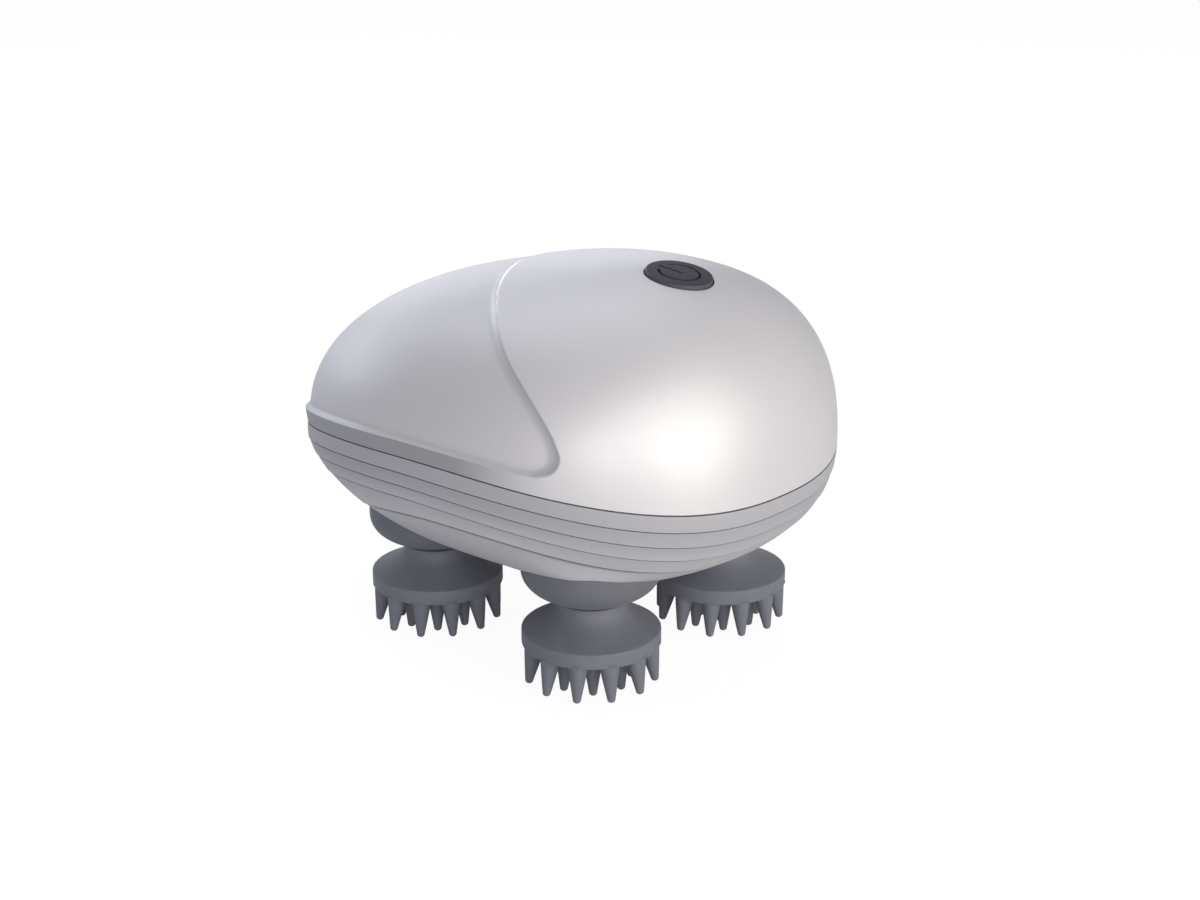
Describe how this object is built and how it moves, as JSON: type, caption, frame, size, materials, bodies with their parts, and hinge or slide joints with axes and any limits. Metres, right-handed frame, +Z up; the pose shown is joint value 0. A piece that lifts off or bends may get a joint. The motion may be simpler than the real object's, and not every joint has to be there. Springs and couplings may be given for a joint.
{
  "type": "electric scalp massager",
  "caption": "Palm-held electric scalp massager: egg-shaped shell with a recessed nose surface, a power button on top and turning bristle heads below.",
  "frame": {"origin": "middle of the bounding box in plan, at the height of the lowest bristle tips", "axes": "+X from the nose to the blunt end, +Y across the shell, +Z up through the button side"},
  "size_m": [0.1064, 0.0856, 0.0717],
  "materials": {
    "pearl_white": "satin pearl",
    "light_grey": "satin",
    "seam_black": "matte",
    "bowl_slate": "matte",
    "head_slate": "matte",
    "button_charcoal": "satin",
    "inner_plastic": "as moulded",
    "gear_plastic": "as moulded",
    "bronze": "turned",
    "steel": "turned",
    "tray_plastic": "as moulded",
    "cell_wrap": "shrink wrap",
    "board_green": "solder mask",
    "part_black": "moulded packages",
    "lead_red": "insulated wire",
    "contact_gold": "plated"
  },
  "bodies": {
    "housing": {"upper_shell": "pearl_white", "lower_shell": "light_grey", "seam_seal": "seam_black", "head_bowl_1": "bowl_slate", "head_bowl_2": "bowl_slate", "head_bowl_3": "bowl_slate", "head_bowl_4": "bowl_slate", "shaft_seal_1": "seam_black", "shaft_seal_2": "seam_black", "shaft_seal_3": "seam_black", "shaft_seal_4": "seam_black", "shaft_bush_1": "bronze", "shaft_bush_2": "bronze", "shaft_bush_3": "bronze", "shaft_bush_4": "bronze", "gearbox_base": "inner_plastic", "gearbox_cover": "inner_plastic", "gear_axles": "steel", "gearhead": "steel", "motor_can": "steel", "battery_tray": "tray_plastic", "battery_cell_1": "cell_wrap", "battery_cell_2": "cell_wrap", "main_board": "board_green", "board_parts": "part_black", "tact_switch": "part_black", "charging_pad": "button_charcoal", "charging_contacts": "contact_gold", "pad_magnets": "steel", "shell_screws": "steel", "gearbox_screws": "steel", "board_screws": "steel", "button_seal": "seam_black", "motor_leads": "lead_red", "battery_leads": "lead_red"},
    "head_1": {"massage_head_1": "head_slate", "head_core_1": "inner_plastic", "head_shaft_1": "steel", "head_gear_1": "gear_plastic"},
    "head_2": {"massage_head_2": "head_slate", "head_core_2": "inner_plastic", "head_shaft_2": "steel", "head_gear_2": "gear_plastic"},
    "head_3": {"massage_head_3": "head_slate", "head_core_3": "inner_plastic", "head_shaft_3": "steel", "head_gear_3": "gear_plastic"},
    "head_4": {"massage_head_4": "head_slate", "head_core_4": "inner_plastic", "head_shaft_4": "steel", "head_gear_4": "gear_plastic"},
    "nose_pair": {"nose_pair_gear": "gear_plastic"},
    "blunt_pair": {"blunt_pair_gear": "gear_plastic"},
    "reverser": {"reversing_gear": "gear_plastic"},
    "rotor": {"output_shaft": "steel", "motor_pinion": "bronze"},
    "button": {"power_button": "button_charcoal"}
  },
  "joints": [
    {"name": "head_1_turn", "type": "hinge", "parent": "housing", "child": "head_1", "pos_m": [-0.0134, -0.018, 0.02], "axis": [0, 0, 1], "continuous": true},
    {"name": "head_2_turn", "type": "hinge", "parent": "housing", "child": "head_2", "pos_m": [0.026, -0.018, 0.02], "axis": [0, 0, 1], "continuous": true},
    {"name": "head_3_turn", "type": "hinge", "parent": "housing", "child": "head_3", "pos_m": [0.026, 0.018, 0.02], "axis": [0, 0, 1], "continuous": true},
    {"name": "head_4_turn", "type": "hinge", "parent": "housing", "child": "head_4", "pos_m": [-0.0134, 0.018, 0.02], "axis": [0, 0, 1], "continuous": true},
    {"name": "nose_pair_turn", "type": "hinge", "parent": "housing", "child": "nose_pair", "pos_m": [-0.0134, 0, 0.0326], "axis": [0, 0, 1], "continuous": true},
    {"name": "blunt_pair_turn", "type": "hinge", "parent": "housing", "child": "blunt_pair", "pos_m": [0.026, 0, 0.0326], "axis": [0, 0, 1], "continuous": true},
    {"name": "reverser_turn", "type": "hinge", "parent": "housing", "child": "reverser", "pos_m": [0.01057, -0.00143, 0.0326], "axis": [0, 0, 1], "continuous": true},
    {"name": "rotor_turn", "type": "hinge", "parent": "housing", "child": "rotor", "pos_m": [0.00203, 0.00143, 0.0326], "axis": [0, 0, 1], "continuous": true},
    {"name": "button_press", "type": "slide", "parent": "housing", "child": "button", "axis": [-0.134, 0, -0.991], "range_m": [0, 0.0004], "stiffness_N_per_m": 2500, "springref_m": -0.0002}
  ],
  "couplings": [
    {"joint": "head_4_turn", "follows": "head_1_turn", "ratio": 1},
    {"joint": "head_2_turn", "follows": "head_1_turn", "ratio": -1},
    {"joint": "head_3_turn", "follows": "head_1_turn", "ratio": -1},
    {"joint": "nose_pair_turn", "follows": "head_1_turn", "ratio": -0.63636},
    {"joint": "blunt_pair_turn", "follows": "head_1_turn", "ratio": 0.63636},
    {"joint": "rotor_turn", "follows": "head_1_turn", "ratio": 1.5556},
    {"joint": "reverser_turn", "follows": "head_1_turn", "ratio": -1.5556}
  ]
}
